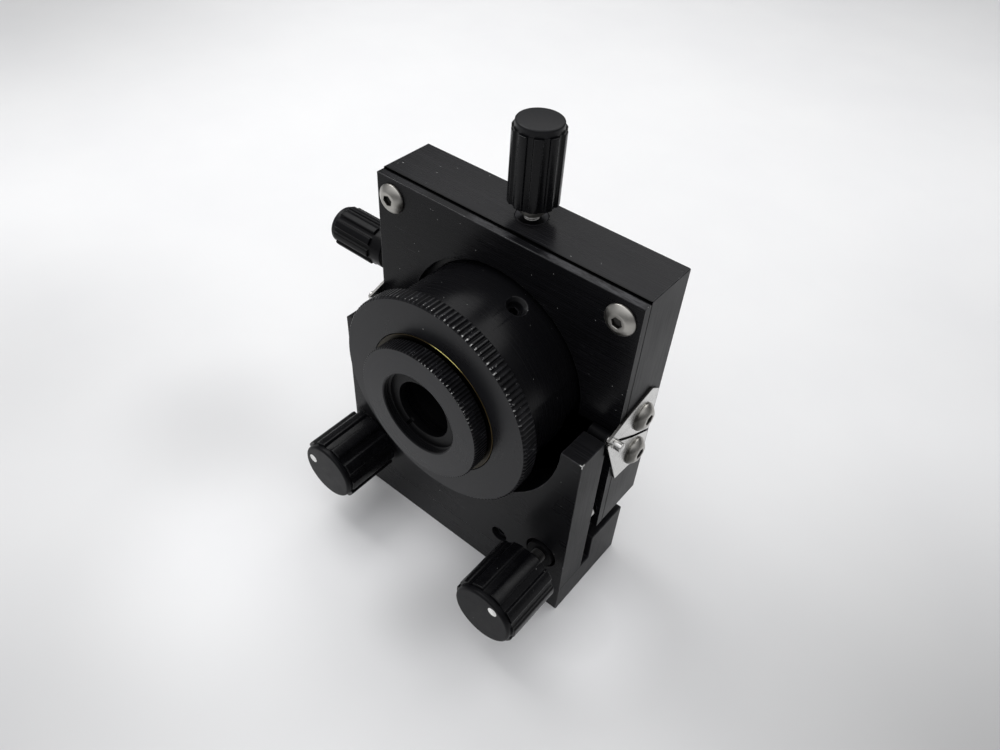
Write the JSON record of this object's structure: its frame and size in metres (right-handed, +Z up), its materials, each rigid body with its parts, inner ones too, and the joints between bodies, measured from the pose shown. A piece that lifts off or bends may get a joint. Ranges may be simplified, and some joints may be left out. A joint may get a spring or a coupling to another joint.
{
  "type": "optical lens mount",
  "caption": "Compact five-axis lens mount: a black block with a knurled focusing barrel tilts on two side pins in a U-shaped front plate, with ribbed adjusting knobs for tilt and centring",
  "frame": {"origin": "mouth of the threaded mounting hole in the underside of the rear foot, on the plane that the mount stands on", "axes": "+Z up; +Y to the rear along the optical axis, so the knurled lens cell and the tilt knobs face -Y; +X to the right as seen from the front"},
  "size_m": [0.0653, 0.0347, 0.0756],
  "materials": {
    "base_anodised": "black anodised, satin, brushed sides",
    "black_anodised": "black anodised, satin, fine machining lines",
    "blackened_steel": "black oxide",
    "stainless_steel": "bright stainless",
    "brass": "turned",
    "knob_plastic": "glossy moulded ribs",
    "cap_plastic": "satin moulded cap"
  },
  "bodies": {
    "base": {"base_block": "base_anodised", "front_plate": "black_anodised", "base_screws": "blackened_steel", "yaw_bushing": "blackened_steel", "stop_pins": "stainless_steel", "yaw_pivot": "stainless_steel", "thrust_washer": "brass", "yaw_setscrew": "blackened_steel", "yaw_spring": "stainless_steel"},
    "yoke": {"yoke": "black_anodised", "pivot_pins": "stainless_steel", "pitch_bushing": "blackened_steel", "pitch_stud": "blackened_steel", "pitch_spring": "stainless_steel"},
    "housing": {"housing_block": "black_anodised", "cover_plate": "black_anodised", "cover_screws": "stainless_steel", "cover_screws_low": "blackened_steel", "clip_upper_right": "stainless_steel", "clip_upper_left": "stainless_steel", "clip_lower_right": "stainless_steel", "clip_lower_left": "stainless_steel", "clip_screws": "stainless_steel", "pitch_lug": "black_anodised", "lug_screws": "blackened_steel", "x_bushing": "blackened_steel", "y_bushing": "blackened_steel"},
    "cross_slide": {"cross_slide": "black_anodised"},
    "carrier": {"lens_carrier": "black_anodised", "snap_ring": "stainless_steel", "key_screw": "blackened_steel"},
    "focus_ring": {"focus_ring": "black_anodised"},
    "lens_tube": {"lens_tube": "brass", "lens_cell": "black_anodised", "retaining_ring": "black_anodised"},
    "yaw_tip": {"yaw_ball": "stainless_steel"},
    "yaw_adjuster": {"yaw_screw": "stainless_steel", "yaw_knob": "knob_plastic", "yaw_cap": "cap_plastic"},
    "pitch_tip": {"pitch_ball": "stainless_steel"},
    "pitch_adjuster": {"pitch_screw": "stainless_steel", "pitch_knob": "knob_plastic", "pitch_cap": "cap_plastic"},
    "x_tip": {"x_shoe": "brass"},
    "x_adjuster": {"x_screw": "stainless_steel", "x_collar": "stainless_steel", "x_knob": "knob_plastic", "x_cap": "cap_plastic"},
    "y_tip": {"y_shoe": "brass"},
    "y_adjuster": {"y_screw": "stainless_steel", "y_collar": "stainless_steel", "y_knob": "knob_plastic", "y_cap": "cap_plastic"}
  },
  "joints": [
    {"name": "yaw", "type": "hinge", "parent": "base", "child": "yoke", "pos_m": [0, -0.0056, 0.01], "axis": [0, 0, 1], "range_deg": [-1.2, 1.2]},
    {"name": "pitch", "type": "hinge", "parent": "yoke", "child": "housing", "pos_m": [0, -0.0056, 0.0371], "axis": [1, 0, 0], "range_deg": [-1.2, 1.2]},
    {"name": "x_travel", "type": "slide", "parent": "housing", "child": "cross_slide", "axis": [1, 0, 0], "range_m": [-0.0007, 0.0007]},
    {"name": "y_travel", "type": "slide", "parent": "cross_slide", "child": "carrier", "axis": [0, 0, 1], "range_m": [-0.0007, 0.0007]},
    {"name": "focus_turn", "type": "hinge", "parent": "carrier", "child": "focus_ring", "pos_m": [0, -0.016, 0.0381], "axis": [0, 1, 0], "range_deg": [-890, 1340]},
    {"name": "focus_travel", "type": "slide", "parent": "carrier", "child": "lens_tube", "axis": [0, 1, 0], "range_m": [-0.00298, 0.00198]},
    {"name": "yaw_advance", "type": "slide", "parent": "base", "child": "yaw_tip", "axis": [0, 1, 0], "range_m": [-0.0004, 0.0004]},
    {"name": "yaw_knob_turn", "type": "hinge", "parent": "yaw_tip", "child": "yaw_adjuster", "pos_m": [-0.01895, -0.015, 0.0125], "axis": [0, 1, 0], "range_deg": [-452, 452]},
    {"name": "pitch_advance", "type": "slide", "parent": "yoke", "child": "pitch_tip", "axis": [0, 1, 0], "range_m": [-0.00052, 0.00052]},
    {"name": "pitch_knob_turn", "type": "hinge", "parent": "pitch_tip", "child": "pitch_adjuster", "pos_m": [0.01895, -0.018, 0.0125], "axis": [0, 1, 0], "range_deg": [-590, 590]},
    {"name": "x_advance", "type": "slide", "parent": "housing", "child": "x_tip", "axis": [1, 0, 0], "range_m": [-0.0007, 0.0007]},
    {"name": "x_knob_turn", "type": "hinge", "parent": "x_tip", "child": "x_adjuster", "pos_m": [-0.03, 0.0021, 0.04095], "axis": [1, 0, 0], "range_deg": [-794, 794]},
    {"name": "y_advance", "type": "slide", "parent": "housing", "child": "y_tip", "axis": [0, 0, -1], "range_m": [-0.0007, 0.0007]},
    {"name": "y_knob_turn", "type": "hinge", "parent": "y_tip", "child": "y_adjuster", "pos_m": [0.0007, 0.0021, 0.07], "axis": [0, 0, -1], "range_deg": [-794, 794]}
  ],
  "couplings": [
    {"joint": "yaw_advance", "follows": "yaw", "m_per_rad": -0.01895},
    {"joint": "yaw_knob_turn", "follows": "yaw", "ratio": -375.01},
    {"joint": "pitch_advance", "follows": "pitch", "m_per_rad": 0.0246},
    {"joint": "pitch_knob_turn", "follows": "pitch", "ratio": 486.82},
    {"joint": "x_advance", "follows": "x_travel", "ratio": 1},
    {"joint": "x_knob_turn", "follows": "x_travel", "rad_per_m": 19790},
    {"joint": "y_advance", "follows": "y_travel", "ratio": -1},
    {"joint": "y_knob_turn", "follows": "y_travel", "rad_per_m": -19790},
    {"joint": "focus_turn", "follows": "focus_travel", "rad_per_m": -7854}
  ]
}
